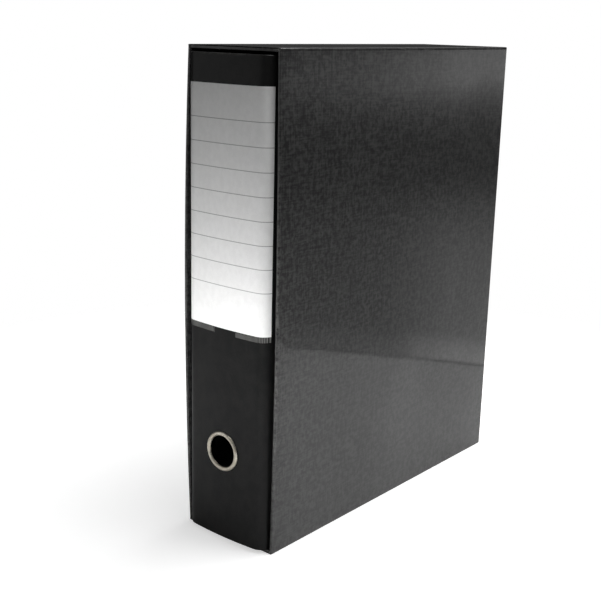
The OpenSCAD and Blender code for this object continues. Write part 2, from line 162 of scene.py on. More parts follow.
def dot(name, place):
    """One point to draw from, in edit mode and selected."""
    nothing_selected()
    bpy.ops.mesh.primitive_plane_add(size=MM, location=place)
    piece = into_edit(name)
    bpy.ops.mesh.merge(type="CENTER")
    return piece


def pull(x=0.0, y=0.0, z=0.0):
    """Extrudes what is selected and moves it."""
    bpy.ops.mesh.extrude_region_move(TRANSFORM_OT_translate={"value": (x, y, z)})


def swing(centre, axis, degrees, steps):
    """Spins the selection about an axis, and leaves its far end selected."""
    bpy.ops.mesh.spin(steps=steps, angle=-math.radians(degrees), center=centre, axis=axis)


def pick(kind, test):
    """Selects only the faces, edges or points that pass the test."""
    mesh = bmesh.from_edit_mesh(bpy.context.object.data)
    bpy.ops.mesh.select_mode(type=kind)
    bpy.ops.mesh.select_all(action="DESELECT")
    mesh.normal_update()
    items = {"VERT": mesh.verts, "EDGE": mesh.edges, "FACE": mesh.faces}[kind]
    for item in items:
        if kind == "FACE":
            chosen = test(item.calc_center_median(), item.normal)
        elif kind == "EDGE":
            chosen = test(item.verts[0].co, item.verts[1].co)
        else:
            chosen = test(item.co)
        item.select_set(bool(chosen))
    mesh.select_flush_mode()
    bmesh.update_edit_mesh(bpy.context.object.data)


def drop_faces(test):
    """Deletes the faces that pass the test, and leaves their edges."""
    pick("FACE", test)
    bpy.ops.mesh.delete(type="FACE")


def cut(axis, places):
    """Cuts the piece by planes across the axis (0, 1 or 2), which adds rows of points to shape."""
    for place in places:
        point, normal = [0, 0, 0], [0, 0, 0]
        point[axis], normal[axis] = place, 1
        bpy.ops.mesh.select_all(action="SELECT")
        bpy.ops.mesh.bisect(plane_co=point, plane_no=normal)


def near(a, b, slack=0.02 * MM):
    """Whether two measures are the same, give or take a little."""
    return abs(a - b) < slack


def shaped(piece):
    """Leaves edit mode with doubles merged and every face turned outwards."""
    bpy.ops.object.mode_set(mode="EDIT")
    bpy.ops.mesh.select_all(action="SELECT")
    bpy.ops.mesh.remove_doubles(threshold=MERGE)
    bpy.ops.mesh.normals_make_consistent(inside=False)
    bpy.ops.object.mode_set(mode="OBJECT")
    return piece


def modify(piece, kind, **settings):
    """Adds a modifier and applies it."""
    only(piece)
    modifier = piece.modifiers.new(kind.title(), kind)
    for key, value in settings.items():
        setattr(modifier, key, value)
    bpy.ops.object.modifier_apply(modifier=modifier.name)
    return piece


def thicken(piece, thickness, even=False):
    """Gives a sheet its thickness, inwards from its face, or outwards where it is negative."""
    return modify(piece, "SOLIDIFY", thickness=thickness, offset=-1, use_even_offset=even)


def round_edges(piece, width, segments=3, sharper_than=50):
    """Rounds the piece's sharp edges."""
    return modify(piece, "BEVEL", width=width, segments=segments, limit_method="ANGLE",
        angle_limit=math.radians(sharper_than))


def smooth(piece, degrees=35):
    """Shades the piece smooth, apart from its sharper edges."""
    only(piece)
    bpy.ops.object.shade_smooth_by_angle(angle=math.radians(degrees))
    return piece


def copy_of(piece, name, move):
    """A copy with its own mesh, moved."""
    twin = piece.copy()
    twin.data = piece.data.copy()
    twin.name = name
    bpy.context.collection.objects.link(twin)
    twin.data.transform(Matrix.Translation(move))
    return twin


def mirrored(piece, name):
    """A copy mirrored across the middle plane between the two covers."""
    twin = copy_of(piece, name, (0, 0, 0))
    twin.data.transform(Matrix.Diagonal((-1, 1, 1, 1)))
    twin.data.flip_normals()
    return twin


def joined(name, pieces):
    """Several pieces made one."""
    only(pieces[0])
    for piece in pieces[1:]:
        piece.select_set(True)
    bpy.ops.object.join()
    pieces[0].name = name
    return pieces[0]


def carve(piece, cutter):
    """Cuts the cutter's shape out of the piece, and removes the cutter."""
    modify(piece, "BOOLEAN", operation="DIFFERENCE", solver="EXACT", object=cutter)
    bpy.data.objects.remove(cutter)
    return piece


def drill(name, start, axis, radius, length, sides=96):
    """A cutter for a round hole, from a start point along an axis."""
    nothing_selected()
    turn = Vector(axis).to_track_quat("Z", "Y").to_euler()
    centre = Vector(start) + Vector(axis) * length / 2
    bpy.ops.mesh.primitive_cylinder_add(vertices=sides, radius=radius, depth=length, location=centre,
        rotation=turn)
    into_edit(name)
    bpy.ops.object.mode_set(mode="OBJECT")
    return bpy.context.object


def lathe(name, origin, axis, outline, sides=48):
    """Turns an outline of (radius, height along the axis) points about the axis through origin."""
    origin, axis = Vector(origin), Vector(axis)
    side = axis.orthogonal().normalized()
    places = [origin + side * r + axis * h for r, h in outline]
    piece = dot(name, places[0])
    for before, after in zip(places, places[1:]):
        pull(*(after - before))
    bpy.ops.mesh.select_all(action="SELECT")
    swing(origin, axis, 360, sides)
    return smooth(shaped(piece), 40)


def bend(centre, radius, start, end, steps):
    """The points of an arc in an outline, from one angle to another in degrees."""
    turns = [math.radians(start + (end - start) * i / steps) for i in range(steps + 1)]
    return [(centre[0] + radius * math.cos(a), centre[1] + radius * math.sin(a)) for a in turns]


# ---------------------------------------------------------------- camera

CAMERA_AZIMUTH = math.radians(39.772)
CAMERA_ELEVATION = math.radians(14.775)
CAMERA_ROLL = math.radians(1.3875)
CAMERA_DISTANCE = 0.81874
CAMERA_TARGET = Vector((-0.02066, -0.03755, 0.15680))
CAMERA_LENS = 63.008


def add_camera():
    """Stands the camera off its target, with a slight roll."""
    az, el, roll = CAMERA_AZIMUTH, CAMERA_ELEVATION, CAMERA_ROLL
    back = Vector((math.sin(az) * math.cos(el), -math.cos(az) * math.cos(el), math.sin(el)))
    right = Vector((math.cos(az), math.sin(az), 0))
    up = back.cross(right)
    rolled_right = math.cos(roll) * right + math.sin(roll) * up
    rolled_up = math.cos(roll) * up - math.sin(roll) * right
    nothing_selected()
    bpy.ops.object.camera_add()
    camera = bpy.context.object
    camera.name = "camera"
    camera.data.lens = CAMERA_LENS
    turn = Matrix((rolled_right, rolled_up, back)).transposed().to_4x4()
    camera.matrix_world = Matrix.Translation(CAMERA_TARGET + back * CAMERA_DISTANCE) @ turn
    bpy.context.scene.camera = camera


# ---------------------------------------------------------------- shared shader groups

class Tree:
    """Short calls that build a node tree."""

    def __init__(self, tree):
        self.tree = tree

    def node(self, kind, links=(), **settings):
        made = self.tree.nodes.new("ShaderNode" + kind)
        for key, value in settings.items():
            setattr(made, key, value)
        for socket, source in dict(links).items():
            self.feed(made, socket, source)
        return made

    def feed(self, node, socket, source):
        if isinstance(source, bpy.types.NodeSocket):
            self.tree.links.new(source, node.inputs[socket])
        else:
            node.inputs[socket].default_value = source

    def math(self, operation, a, b=0.0, c=None, clamp=False):
        links = {0: a, 1: b} if c is None else {0: a, 1: b, 2: c}
        return self.node("Math", links, operation=operation, use_clamp=clamp).outputs[0]

    def spread(self, value, low, high, to_low=0.0, to_high=1.0):
        links = {"Value": value, "From Min": low, "From Max": high, "To Min": to_low, "To Max": to_high}
        return self.node("MapRange", links, interpolation_type="SMOOTHSTEP").outputs[0]

    def noise(self, vector, scale, detail=2.0, roughness=0.5):
        links = {"Vector": vector, "Scale": scale, "Detail": detail, "Roughness": roughness}
        return self.node("TexNoise", links).outputs[0]

    def stretch(self, vector, scale):
        return self.node("Mapping", {"Vector": vector, "Scale": scale}).outputs[0]

    def axes(self, vector):
        return self.node("SeparateXYZ", {0: vector}).outputs

    def blend(self, factor, a, b):
        made = self.node("Mix", data_type="RGBA")
        for index, source in ((0, factor), (6, a), (7, b)):
            self.feed(made, index, source)
        return made.outputs[2]


def new_group(name, inputs, outputs):
    """A node group with named inputs (a number, or None for a vector) and number outputs."""
    group = bpy.data.node_groups.new(name, "ShaderNodeTree")
    for label, value in inputs.items():
        kind = "NodeSocketFloat" if isinstance(value, float) else "NodeSocketVector"
        socket = group.interface.new_socket(label, in_out="INPUT", socket_type=kind)
        if isinstance(value, float):
            socket.default_value = value
    for label in outputs:
        group.interface.new_socket(label, in_out="OUTPUT", socket_type="NodeSocketFloat")
    t = Tree(group)
    return group, t, group.nodes.new("NodeGroupInput"), group.nodes.new("NodeGroupOutput")


def linen_group():
    """Fine crossed threads and soft blotches, as pressed into laminated paper."""
    group, t, source, out = new_group("linen_grain", {"Vector": None, "Thread": 900.0, "Blotch": 90.0},
        ["Height", "Mottle"])
    place = source.outputs["Vector"]
    upright = t.noise(t.stretch(place, (1, 1, 0.07)), source.outputs["Thread"], 2.0, 0.6)
    level = t.noise(t.stretch(place, (0.07, 0.07, 1)), source.outputs["Thread"], 2.0, 0.6)
    weave = t.math("MULTIPLY", t.math("ADD", upright, level), 0.5)
    blotches = t.noise(place, source.outputs["Blotch"], 4.0, 0.65)
    t.feed(out, "Height", weave)
    t.feed(out, "Mottle", t.math("MULTIPLY", blotches, weave))
    return group


def fibre_group():
    """Short fibres and specks of plain papers and board."""
    group, t, source, out = new_group("paper_fibre", {"Vector": None, "Scale": 1500.0}, ["Height", "Speck"])
    place = source.outputs["Vector"]
    fine = t.noise(place, source.outputs["Scale"], 3.0, 0.7)
    coarse = t.noise(t.stretch(place, (0.13, 0.13, 0.09)), source.outputs["Scale"], 4.0, 0.6)
    t.feed(out, "Height", t.math("MULTIPLY", t.math("ADD", fine, coarse), 0.5))
    t.feed(out, "Speck", t.spread(fine, 0.58, 0.72))
    return group


def rub_group():
    """Rubbed edges of a box-shaped piece: high where two of its faces meet, broken up by noise. On the
    slipcase its pale edges are partly wear and partly a painted highlight.
    """
    inputs = {"Vector": None, "Low": None, "High": None, "Width": 2 * MM}
    group, t, source, out = new_group("edge_rub", inputs, ["Mask"])
    place, low, high = (t.axes(source.outputs[name]) for name in ("Vector", "Low", "High"))
    close = []
    for axis in range(3):
        below = t.math("SUBTRACT", place[axis], low[axis])
        above = t.math("SUBTRACT", high[axis], place[axis])
        ratio = t.math("DIVIDE", t.math("MINIMUM", below, above), source.outputs["Width"])
        close.append(t.math("SUBTRACT", 1.0, ratio, clamp=True))
    pairs = [t.math("MULTIPLY", close[a], close[b]) for a, b in ((0, 1), (1, 2), (0, 2))]
    edge = t.math("MAXIMUM", pairs[0], t.math("MAXIMUM", pairs[1], pairs[2]))
    broken = t.spread(t.noise(source.outputs["Vector"], 260.0, 4.0, 0.7), 0.42, 0.62)
    t.feed(out, "Mask", t.math("MULTIPLY", edge, broken))
    return group


def marks_group():
    """Faint smears of handling."""
    group, t, source, out = new_group("handling_marks", {"Vector": None, "Scale": 14.0}, ["Smear"])
    smear = t.noise(t.stretch(source.outputs["Vector"], (1, 1, 0.45)), source.outputs["Scale"], 5.0, 0.6)
    t.feed(out, "Smear", t.spread(smear, 0.35, 0.7))
    return group


LINEN, FIBRE, RUB, MARKS = linen_group(), fibre_group(), rub_group(), marks_group()


# ---------------------------------------------------------------- materials

def new_material(name, **constants):
    """A material with one Principled shader, its constant sockets set, and its object coordinates."""
    material = bpy.data.materials.new(name)
    material.use_nodes = True
    shader = material.node_tree.nodes["Principled BSDF"]
    for socket, value in constants.items():
        shader.inputs[socket.replace("_", " ")].default_value = value
    t = Tree(material.node_tree)
    return material, t, shader, t.node("TexCoord").outputs["Object"]


def use(t, group, **links):
    """Places a shared group in a material."""
    made = t.node("Group", node_tree=group)
    for socket, source in links.items():
        t.feed(made, socket, source)
    return made.outputs


def bump(t, shader, height, distance, strength=1.0):
    """Feeds a height to the shader's normal."""
    made = t.node("Bump", {"Height": height, "Distance": distance, "Strength": strength})
    t.feed(shader, "Normal", made.outputs[0])


def laminated_linen():
    """The slipcase's black laminated paper: a glossy film over a fine linen grain."""
    material, t, shader, place = new_material("laminated_linen", Coat_Roughness=0.07, Coat_IOR=1.5,
        Specular_IOR_Level=0.2)
    linen = use(t, LINEN, Vector=place, Thread=950.0, Blotch=300.0)
    marks = use(t, MARKS, Vector=place, Scale=11.0)
    # The pale rubbed edges are partly wear of the laminate and partly a painted highlight along the
    # slipcase's top edge.
    rub = use(t, RUB, Vector=place, Low=WRAP_LOW, High=WRAP_HIGH, Width=2.2 * MM)["Mask"]
    deep_ink, thin_ink, bare = (0.015, 0.015, 0.0155, 1), (0.056, 0.056, 0.055, 1), (0.2, 0.2, 0.19, 1)
    ink = t.blend(t.spread(linen["Mottle"], 0.15, 0.36), deep_ink, thin_ink)
    t.feed(shader, "Base Color", t.blend(t.math("MULTIPLY", rub, 0.45), ink, bare))
    t.feed(shader, "Roughness", t.spread(linen["Height"], 0.35, 0.65, 0.34, 0.48))
    t.feed(shader, "Coat Weight", t.spread(marks["Smear"], 0.0, 1.0, 0.9, 0.72))
    warp = t.math("MULTIPLY", t.noise(place, 24.0, 2.0, 0.4), 0.7)
    ripple = t.math("MULTIPLY_ADD", t.noise(place, 110.0, 2.0, 0.5), 0.12, warp)
    bump(t, shader, t.math("MULTIPLY_ADD", linen["Height"], 0.035, ripple), 0.6 * MM, 0.6)
    return material


def black_covering():
    """The binder's black covering paper: satin, with a very fine grain."""
    material, t, shader, place = new_material("black_covering", Coat_Weight=0.05, Coat_Roughness=0.35,
        Specular_IOR_Level=0.19)
    fibre = use(t, FIBRE, Vector=place, Scale=1300.0)
    marks = use(t, MARKS, Vector=place, Scale=16.0)
    low, high = (-COVER_X, SPINE_Y, FOOT_Z), (COVER_X, FORE_Y, HEAD_Z)
    rub = use(t, RUB, Vector=place, Low=low, High=high, Width=1.6 * MM)["Mask"]
    deep_ink, thin_ink = (0.0042, 0.0042, 0.0045, 1), (0.0085, 0.0085, 0.0082, 1)
    bare = (0.15, 0.15, 0.14, 1)
    ink = t.blend(t.spread(fibre["Height"], 0.4, 0.6), deep_ink, thin_ink)
    t.feed(shader, "Base Color", t.blend(t.math("MULTIPLY", rub, 0.35), ink, bare))
    t.feed(shader, "Roughness", t.spread(marks["Smear"], 0.0, 1.0, 0.38, 0.48))
    bump(t, shader, fibre["Height"], 0.05 * MM, 0.5)
    return material


def plain_paper(name, dark, light, roughness, scale=1500.0):
    """An uncoated paper or board with fibres and specks."""
    material, t, shader, place = new_material(name, Roughness=roughness)
    fibre = use(t, FIBRE, Vector=place, Scale=scale)
    tone = t.blend(t.spread(fibre["Height"], 0.38, 0.62), (*dark, 1), (*light, 1))
    pale = tuple(min(1.0, part * 1.35) for part in light)
    t.feed(shader, "Base Color", t.blend(t.math("MULTIPLY", fibre["Speck"], 0.4), tone, (*pale, 1)))
    bump(t, shader, fibre["Height"], 0.08 * MM, 0.6)
    return material


def label_paper():
    """The label: white coated paper with fine grey ruled lines."""
    material, t, shader, place = new_material("label_paper", Coat_Weight=0.25, Coat_Roughness=0.3,
        Roughness=0.5)
    fibre = use(t, FIBRE, Vector=place, Scale=1900.0)
    down = t.math("DIVIDE", t.math("SUBTRACT", LINE_TOP, t.axes(place)["Z"]), LINE_PITCH)
    off_line = t.math("ABSOLUTE", t.math("SUBTRACT", down, t.math("ROUND", down)))
    line = t.math("LESS_THAN", off_line, LINE_WIDTH / LINE_PITCH / 2)
    below_top = t.math("GREATER_THAN", down, -0.5)
    above_end = t.math("LESS_THAN", down, LINE_COUNT - 0.5)
    ruled = t.math("MULTIPLY", line, t.math("MULTIPLY", below_top, above_end))
    dull_white, clear_white, grey_ink = (0.77, 0.77, 0.765, 1), (0.82, 0.82, 0.815, 1), (0.14, 0.14, 0.14, 1)
    paper = t.blend(t.spread(fibre["Height"], 0.4, 0.6), dull_white, clear_white)
    inked = t.math("MULTIPLY", ruled, t.spread(fibre["Speck"], 0.0, 1.0, 0.72, 0.5))
    t.feed(shader, "Base Color", t.blend(inked, paper, grey_ink))
    bump(t, shader, fibre["Height"], 0.03 * MM, 0.4)
    return material


def perforated_strip():
    """The grey printed strip left under the label, with a row of fine upright ticks."""
    material, t, shader, place = new_material("perforated_strip", Roughness=0.6)
    fibre = use(t, FIBRE, Vector=place, Scale=1700.0)
    wave = t.math("FRACT", t.math("DIVIDE", t.axes(place)["X"], TOOTH_PITCH))
    tick = t.math("MULTIPLY", t.math("LESS_THAN", wave, 0.4), 0.75)
    dark_grey, speck_grey, tick_grey = (0.012, 0.012, 0.012, 1), (0.03, 0.03, 0.03, 1), (0.2, 0.2, 0.19, 1)
    tone = t.blend(fibre["Speck"], dark_grey, speck_grey)
    t.feed(shader, "Base Color", t.blend(tick, tone, tick_grey))
    bump(t, shader, fibre["Height"], 0.05 * MM, 0.5)
    return material


def plated_metal(name, tone, worn, roughness, stretch=(1, 1, 1), painted_shade_from=None):
    """A plated metal with fine drawn lines and a cloudy tarnish; if a depth along y is given, painted shade
    darkens it behind that depth.
    """
    material, t, shader, place = new_material(name, Metallic=1.0)
    lines = t.noise(t.stretch(place, stretch), 2200.0, 3.0, 0.6)
    cloud = t.noise(place, 180.0, 4.0, 0.6)
    metal = t.blend(t.spread(cloud, 0.4, 0.75), (*tone, 1), (*worn, 1))
    if painted_shade_from is not None:
        # painted shade: the metal turns near black deeper than the given depth, where it lies in shadow
        # behind the spine's face
        painted_shade_tone, fade = (0.03, 0.03, 0.028, 1), 0.8 * MM
        metal = t.blend(t.spread(t.axes(place)["Y"], painted_shade_from, painted_shade_from + fade), metal, painted_shade_tone)
    t.feed(shader, "Base Color", metal)
    t.feed(shader, "Roughness", t.spread(t.math("MULTIPLY", lines, cloud), 0.12, 0.42, *roughness))
    bump(t, shader, lines, 0.01 * MM, 0.12)
    return material


FINISH = {
    "laminated_paper": laminated_linen(),
    "covering_paper": black_covering(),
    "lining_paper": plain_paper("lining_paper", (0.1, 0.1, 0.105), (0.14, 0.14, 0.145), 0.75),
    "grey_board": plain_paper("grey_board", (0.2, 0.19, 0.175), (0.3, 0.29, 0.27), 0.9, 900.0),
    "label_paper": label_paper(),
    "perforated_strip": perforated_strip(),
    # the eyelet's finish carries painted shade: everything behind the spine's face goes dark, the eyelet's
    # barrel and the whole washer
    "nickel_ring": plated_metal("nickel_ring", (0.86, 0.81, 0.7), (0.68, 0.62, 0.5), (0.24, 0.38),
        painted_shade_from=SPINE_Y - 0.5 * MM),
    "nickel_steel": plated_metal("nickel_steel", (0.7, 0.7, 0.69), (0.62, 0.61, 0.59), (0.24, 0.34),
        stretch=(1, 1, 0.08)),
    "spring_steel": plated_metal("spring_steel", (0.34, 0.36, 0.4), (0.24, 0.23, 0.22), (0.28, 0.42),
        stretch=(1, 1, 0.06)),
}


def hang(piece, body, slot, *nodes):
    """Makes the piece ride on its body, gives it its slot's finish and hides the CAD nodes it stands for."""
    if body:
        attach(piece, body)
    if nodes:
        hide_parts(*nodes)
    piece.data.materials.clear()
    piece.data.materials.append(FINISH[slot])
    return piece


def finish_frame_nodes():
    """Gives every node of the frame the finish of its slot."""
    for row in frame["record"]["subparts"]:
        node = bpy.data.objects[row["node"]]
        node.data.materials.clear()
        node.data.materials.append(FINISH[row["material_slot"]])


# ---------------------------------------------------------------- slipcase

FOLD_R = 0.85 * MM
LIP = 0.05 * MM
END_INSET = 1.6 * MM
# thinner than in the frame, as the covering is
WRAP_SHEET = PAPER * 0.9


def bow(y, z):
    """How far out the slipcase's wall stands, as a share of its bow: most at the mouth's middle."""
    along = min(1.0, max(0.0, (y - MOUTH_Y) / (BACK_Y - WALL - MOUTH_Y)))
    up = min(1.0, max(0.0, (z - WALL) / (CASE_H - 2 * WALL)))
    return (1 - along * along) * 4 * up * (1 - up)


def bow_out(piece):
    """Bows the two side walls outward, as the boards under them are."""
    for point in piece.data.vertices:
        if abs(point.co.x) > CASE_X - WALL - 2 * PAPER:
            point.co.x += (BOW_RIGHT if point.co.x > 0 else -BOW_LEFT) * bow(point.co.y, point.co.z)


def side_paper():
    """One sheet round the left, back and right walls, folded over the ends and in at the mouth."""
    rim = 12 * MM
    piece = block("slipcase_side_paper", (-CASE_X, MOUTH_Y, LIP), (CASE_X, BACK_Y, CASE_H - LIP))
    drop_faces(lambda c, n: n.y < -0.5)
    pick("FACE", lambda c, n: abs(n.z) > 0.5)
    bpy.ops.mesh.inset(thickness=rim, use_boundary=False, use_individual=True)
    bpy.ops.mesh.delete(type="FACE")
    for side in (-1, 1):
        pick("EDGE", lambda a, b: near(a.y, MOUTH_Y) and near(b.y, MOUTH_Y) and near(a.x, side * CASE_X)
            and near(b.x, side * CASE_X))
        pull(x=-side * (WALL + PAPER))
        pull(y=TURN_IN)
    shaped(piece)
    round_edges(piece, FOLD_R, 4)
    bpy.ops.object.mode_set(mode="EDIT")
    cut(2, [WALL + (CASE_H - 2 * WALL) * i / 28 for i in range(29)])
    cut(1, [MOUTH_Y + (BACK_Y - MOUTH_Y - WALL) * i / 20 for i in range(1, 21)])
    bpy.ops.object.mode_set(mode="OBJECT")
    bow_out(piece)
    thicken(piece, WRAP_SHEET)
    return hang(smooth(piece, 40), "slipcase", "laminated_paper", "case_side_wrap")


def end_paper(name, up, node):
    """The sheet over one end of the slipcase, a little inside its edges and folded in at the mouth."""
    inside = CASE_X - WALL - PAPER
    z_out, z_in = (CASE_H, CASE_H - PAPER) if up > 0 else (0.0, PAPER)
    fold_end = z_in - up * WALL
    fold_top = fold_end + up * PAPER
    fold_back = MOUTH_Y + PAPER
    low = (-CASE_X + END_INSET, MOUTH_Y, min(z_out, z_in))
    piece = block(name, low, (CASE_X - END_INSET, BACK_Y - END_INSET, max(z_out, z_in)))
    cut(1, [fold_back])
    cut(0, [-inside, inside])
    pick("FACE", lambda c, n: n.z * up < -0.5 and c.y < fold_back and abs(c.x) < inside)
    pull(z=-up * WALL)
    cut(2, [fold_top])
    pick("FACE", lambda c, n: n.y > 0.5 and near(c.y, fold_back) and (fold_top - c.z) * up > 0)
    pull(y=TURN_IN - PAPER)
    pick("EDGE", lambda a, b: near(a.y, MOUTH_Y) and near(b.y, MOUTH_Y) and near(a.z, z_out)
        and near(b.z, z_out))
    bpy.ops.mesh.bevel(offset=0.8 * MM, segments=4, affect="EDGES")
    shaped(piece)
    round_edges(piece, 0.08 * MM, 2)
    return hang(smooth(piece, 50), "slipcase", "laminated_paper", node)


# ---------------------------------------------------------------- spine and covers

def spine_sheet(name, z0, z1, trim=0.0, corner_steps=CORNER_STEPS):
    """A sheet along the spine's outline: corner, crown, corner. A turn of trim is left bare at each end."""
    turn = math.radians(trim)
    start = (-CORNER_X - CORNER_R * math.cos(turn), CORNER_Y - CORNER_R * math.sin(turn), z0)
    corner = 90 - CROWN_TURN - trim
    crown_steps = 28
    piece = dot(name, start)
    swing((-CORNER_X, CORNER_Y, 0), (0, 0, 1), corner, corner_steps)
    swing((0, CROWN_Y, 0), (0, 0, 1), 2 * CROWN_TURN, crown_steps)
    swing((CORNER_X, CORNER_Y, 0), (0, 0, 1), corner, corner_steps)
    bpy.ops.mesh.select_all(action="SELECT")
    pull(z=z1 - z0)
    bpy.ops.mesh.select_all(action="SELECT")
    bpy.ops.mesh.remove_doubles(threshold=MERGE)
    bpy.ops.object.mode_set(mode="OBJECT")
    foremost = min(piece.data.polygons, key=lambda face: face.center.y)
    if foremost.normal.y > 0:
        piece.data.flip_normals()
    return piece


def inner_window(piece, is_inner):
    """Leaves the covering open inside its turn-in, where the lining shows."""
    bpy.ops.object.mode_set(mode="EDIT")
    cut(2, [FOOT_Z + TURN_IN, HEAD_Z - TURN_IN])
    drop_faces(lambda c, n: is_inner(c, n) and FOOT_Z + TURN_IN < c.z < HEAD_Z - TURN_IN)
    bpy.ops.object.mode_set(mode="OBJECT")


def spine_paper():
    """The black covering over the spine, folded round its head and foot, with the finger hole cut out."""
    piece = spine_sheet("spine_paper", FOOT_Z, HEAD_Z)
    thicken(piece, COVER_T, even=True)
    bpy.ops.object.mode_set(mode="EDIT")
    drop_faces(lambda c, n: n.y > 0.9 and abs(c.x) > INSIDE_X - MM)
    inner_window(piece, lambda c, n: n.y > 0.0 and abs(n.z) < 0.5 and c.y > SPINE_Y + COVER_T * 0.8
        and not near(abs(c.x), COVER_X, 0.3 * MM))
    round_edges(piece, COVER_FOLD_R, 3, 60)
    thicken(piece, COVERING_SHEET)
    past = 2 * MM
    hole = drill("finger_hole_cutter", (0, SPINE_Y - past, RING_Z), (0, 1, 0), SPINE_HOLE_R,
        COVER_T + 2 * past)
    carve(piece, hole)
    return hang(smooth(piece, 40), "spine", "covering_paper", "spine_covering")


def cover_papers():
    """The black covering over each cover, turned in round three sides."""
    piece = block("front_paper", (INSIDE_X, COVER_Y, FOOT_Z), (COVER_X, FORE_Y, HEAD_Z))
    drop_faces(lambda c, n: n.y < -0.5)
    cut(1, [FORE_Y - TURN_IN])
    cut(2, [FOOT_Z + TURN_IN, HEAD_Z - TURN_IN])
    drop_faces(lambda c, n: n.x < -0.5 and c.y < FORE_Y - TURN_IN
        and FOOT_Z + TURN_IN < c.z < HEAD_Z - TURN_IN)
    cut(1, [COVER_Y + (FORE_Y - COVER_Y) * i / 6 for i in range(1, 6)])
    bpy.ops.object.mode_set(mode="OBJECT")
    round_edges(piece, COVER_FOLD_R, 3, 60)
    thicken(piece, COVERING_SHEET)
    rear = mirrored(piece, "rear_paper")
    hang(smooth(piece, 40), "front_cover", "covering_paper", "front_covering")
    hang(smooth(rear, 40), "rear_cover", "covering_paper", "rear_covering")


def crease_strips():
    """The covering's narrow fold across each crease."""
    overlap = 1.2 * MM
    end_gap = 0.4 * MM
    sag = 0.08 * MM
    low = (COVER_X - COVERING * 1.1, CORNER_Y - overlap, FOOT_Z + end_gap)
    high = (COVER_X - COVERING * 0.2, COVER_Y + overlap, HEAD_Z - end_gap)
    piece = block("front_crease", low, high)
    middle = (CORNER_Y + COVER_Y) / 2
    cut(1, [CORNER_Y, middle, COVER_Y])
    pick("VERT", lambda c: near(c.y, middle))
    bpy.ops.transform.translate(value=(-sag, 0, 0))
    shaped(piece)
    round_edges(piece, 0.04 * MM, 2)
    rear = mirrored(piece, "rear_crease")
    for strip, body, side in ((piece, "front_cover", 1), (rear, "rear_cover", -1)):
        smooth(strip, 60)
        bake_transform(strip)
        hang(strip, None, "covering_paper")


# ---------------------------------------------------------------- label and finger ring

def spine_label():
    """The white label over the spine and a little way round its two long edges."""
    piece = spine_sheet("label", LABEL_LOW.z, LABEL_HIGH.z, LABEL_TRIM, LABEL_STEPS)
    thicken(piece, LABEL_T)
    round_edges(piece, 0.06 * MM, 2)
    return hang(smooth(piece, 40), "spine", "label_paper", "spine_label")


def tear_strip():
    """The two bits of strip left under the label, with a toothed upper edge."""
    teeth = 50
    tooth_depth = 0.7 * MM
    piece = spine_sheet("label_strip", STUB_LOW.z, STUB_HIGH.z, LABEL_TRIM, LABEL_STEPS)
    thicken(piece, LABEL_T)
    bpy.ops.object.mode_set(mode="EDIT")
    span = STUB_HIGH.x - STUB_LOW.x
    cut(0, [STUB_LOW.x + span * i / teeth for i in range(1, teeth)] + list(STUB_GAP))
    drop_faces(lambda c, n: STUB_GAP[0] < c.x < STUB_GAP[1])
    for edge in STUB_GAP:
        pick("EDGE", lambda a, b: near(a.x, edge) and near(b.x, edge))
        bpy.ops.mesh.edge_face_add()
    pick("VERT", lambda c: near(c.z, STUB_HIGH.z) and round((c.x - STUB_LOW.x) / span * teeth) % 2 == 1
        and abs(c.x) < CORNER_X)
    bpy.ops.transform.translate(value=(0, 0, -tooth_depth))
    shaped(piece)
    return hang(smooth(piece, 30), "spine", "perforated_strip", "label_tear_strip")


def finger_ring():
    """The rolled metal eyelet: a round flange, its barrel, and the edge spread behind the washer."""
    roll = (RING_R - RING_HOLE_R) / 2
    proud = SPINE_Y - RING_LOW.y
    back = RING_HIGH.y - SPINE_Y
    wall = 0.7 * MM
    lip = wall * 0.4
    front = [(RING_HOLE_R + roll - roll * math.cos(a), -proud * math.sin(a))
        for a in (math.pi * i / 14 for i in range(15))]
    under = [(RING_R - 0.3 * MM, 0.12 * MM), (RING_HOLE_R + wall + 0.2 * MM, 0.12 * MM)]
    barrel = [(RING_HOLE_R + wall, 0.3 * MM), (RING_HOLE_R + wall, back - wall)]
    spread = [(RING_HOLE_R + 2 * wall, back - wall), (RING_HOLE_R + 2 * wall + lip, back - wall / 2),
        (RING_HOLE_R + 2 * wall, back), (RING_HOLE_R + lip, back), (RING_HOLE_R, back - lip)]
    outline = front + under + barrel + spread
    ring = lathe("finger_eyelet", (0, SPINE_Y, RING_Z), (0, 1, 0), outline + [outline[0]], 80)
    return hang(ring, "spine", "nickel_ring", "finger_ring")


def ring_washer():
    """The flat washer that the eyelet is spread over, behind the spine."""
    inner = SPINE_HOLE_R
    thick = WASHER_HIGH.y - WASHER_LOW.y
    edge = 0.15 * MM
    outline = [(inner, 0), (RING_R - edge, 0), (RING_R, edge), (RING_R, thick - edge),
        (RING_R - edge, thick), (inner, thick), (inner, 0)]
    washer = lathe("eyelet_washer", (0, WASHER_LOW.y, RING_Z), (0, 1, 0), outline, 64)
    return hang(washer, "spine", "nickel_ring", "finger_ring_washer")


# ---------------------------------------------------------------- lever arch mechanism

def posts():
    """The two straight posts, each with a collar and a rounded tip."""
    for name, node in (("post_upper", "upper_post"), ("post_lower", "lower_post")):
        low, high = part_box(node)
        y, z = (low.y + high.y) / 2, (low.z + high.z) / 2
        length = high.x - low.x
        collar = high.z - z
        collar_t, round_r = 1.0 * MM, 0.6 * MM
        shank = 2.25 * MM
        tip_r = 1.2 * MM
        outline = [(0, 0), (collar, 0), (collar, collar_t)]
        outline += bend((collar - round_r, collar_t), round_r, 0, 90, 4)
        outline += [(shank + 0.25 * MM, collar_t + round_r), (shank, 2.0 * MM), (shank, length - 3 * MM)]
        outline += [(tip_r + 0.35 * MM, length - 0.9 * MM), (tip_r, length - 0.25 * MM), (0, length)]
        post = lathe(name, (low.x, y, z), (1, 0, 0), outline, 40)
        hang(post, "rear_cover", "nickel_steel", node)


